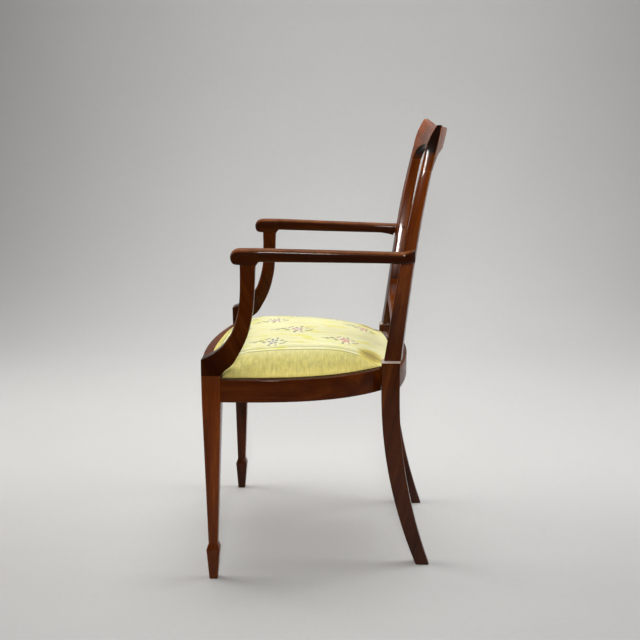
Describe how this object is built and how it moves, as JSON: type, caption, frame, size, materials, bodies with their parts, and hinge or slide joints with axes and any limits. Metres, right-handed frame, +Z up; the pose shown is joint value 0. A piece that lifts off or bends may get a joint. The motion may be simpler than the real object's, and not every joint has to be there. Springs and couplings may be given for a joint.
{
  "type": "shield back armchair",
  "caption": "Polished wooden armchair with a shield-shaped back, fanned splat bars, swept arm supports, tapered spade-foot front legs, sabre rear legs and a domed needlework seat.",
  "frame": {"origin": "on the floor, under the middle of the chair's outer box", "axes": "+Z up; -Y is the way the chair faces; +X is the sitter's left"},
  "size_m": [0.5682, 0.5396, 0.955],
  "materials": {
    "mahogany": "dark red-brown french polish, glossy",
    "beech": "plain unpolished hardwood",
    "jute": "coarse natural webbing and cloth",
    "needlework": "pale yellow stitched wool with small flower sprigs",
    "steel": "plain steel screws"
  },
  "bodies": {
    "root": {"front_leg_left": "mahogany", "front_leg_right": "mahogany", "front_rail": "mahogany", "side_rail_left": "mahogany", "side_rail_right": "mahogany", "rear_rail": "mahogany", "front_corner_block_left": "beech", "front_corner_block_right": "beech", "rear_corner_block_left": "beech", "rear_corner_block_right": "beech", "rear_leg_left": "mahogany", "rear_leg_right": "mahogany", "crest_rail": "mahogany", "shield_foot_rail": "mahogany", "shield_dowel_left": "beech", "shield_dowel_right": "beech", "splat_bar_right_outer": "mahogany", "splat_bar_right_inner": "mahogany", "splat_bar_centre": "mahogany", "splat_bar_left_inner": "mahogany", "splat_bar_left_outer": "mahogany", "arm_support_left": "mahogany", "arm_support_right": "mahogany", "arm_left": "mahogany", "arm_right": "mahogany", "arm_plug_left": "mahogany", "arm_plug_right": "mahogany", "arm_screw_left": "steel", "arm_screw_right": "steel", "seat_frame_front": "beech", "seat_frame_rear": "beech", "seat_frame_side_left": "beech", "seat_frame_side_right": "beech", "webbing_length_1": "jute", "webbing_length_2": "jute", "webbing_length_3": "jute", "webbing_length_4": "jute", "webbing_cross_1": "jute", "webbing_cross_2": "jute", "webbing_cross_3": "jute", "base_cloth": "jute", "seat_pad": "needlework", "seat_screw_front_left": "steel", "seat_screw_front_right": "steel", "seat_screw_rear_left": "steel", "seat_screw_rear_right": "steel"}
  },
  "joints": []
}
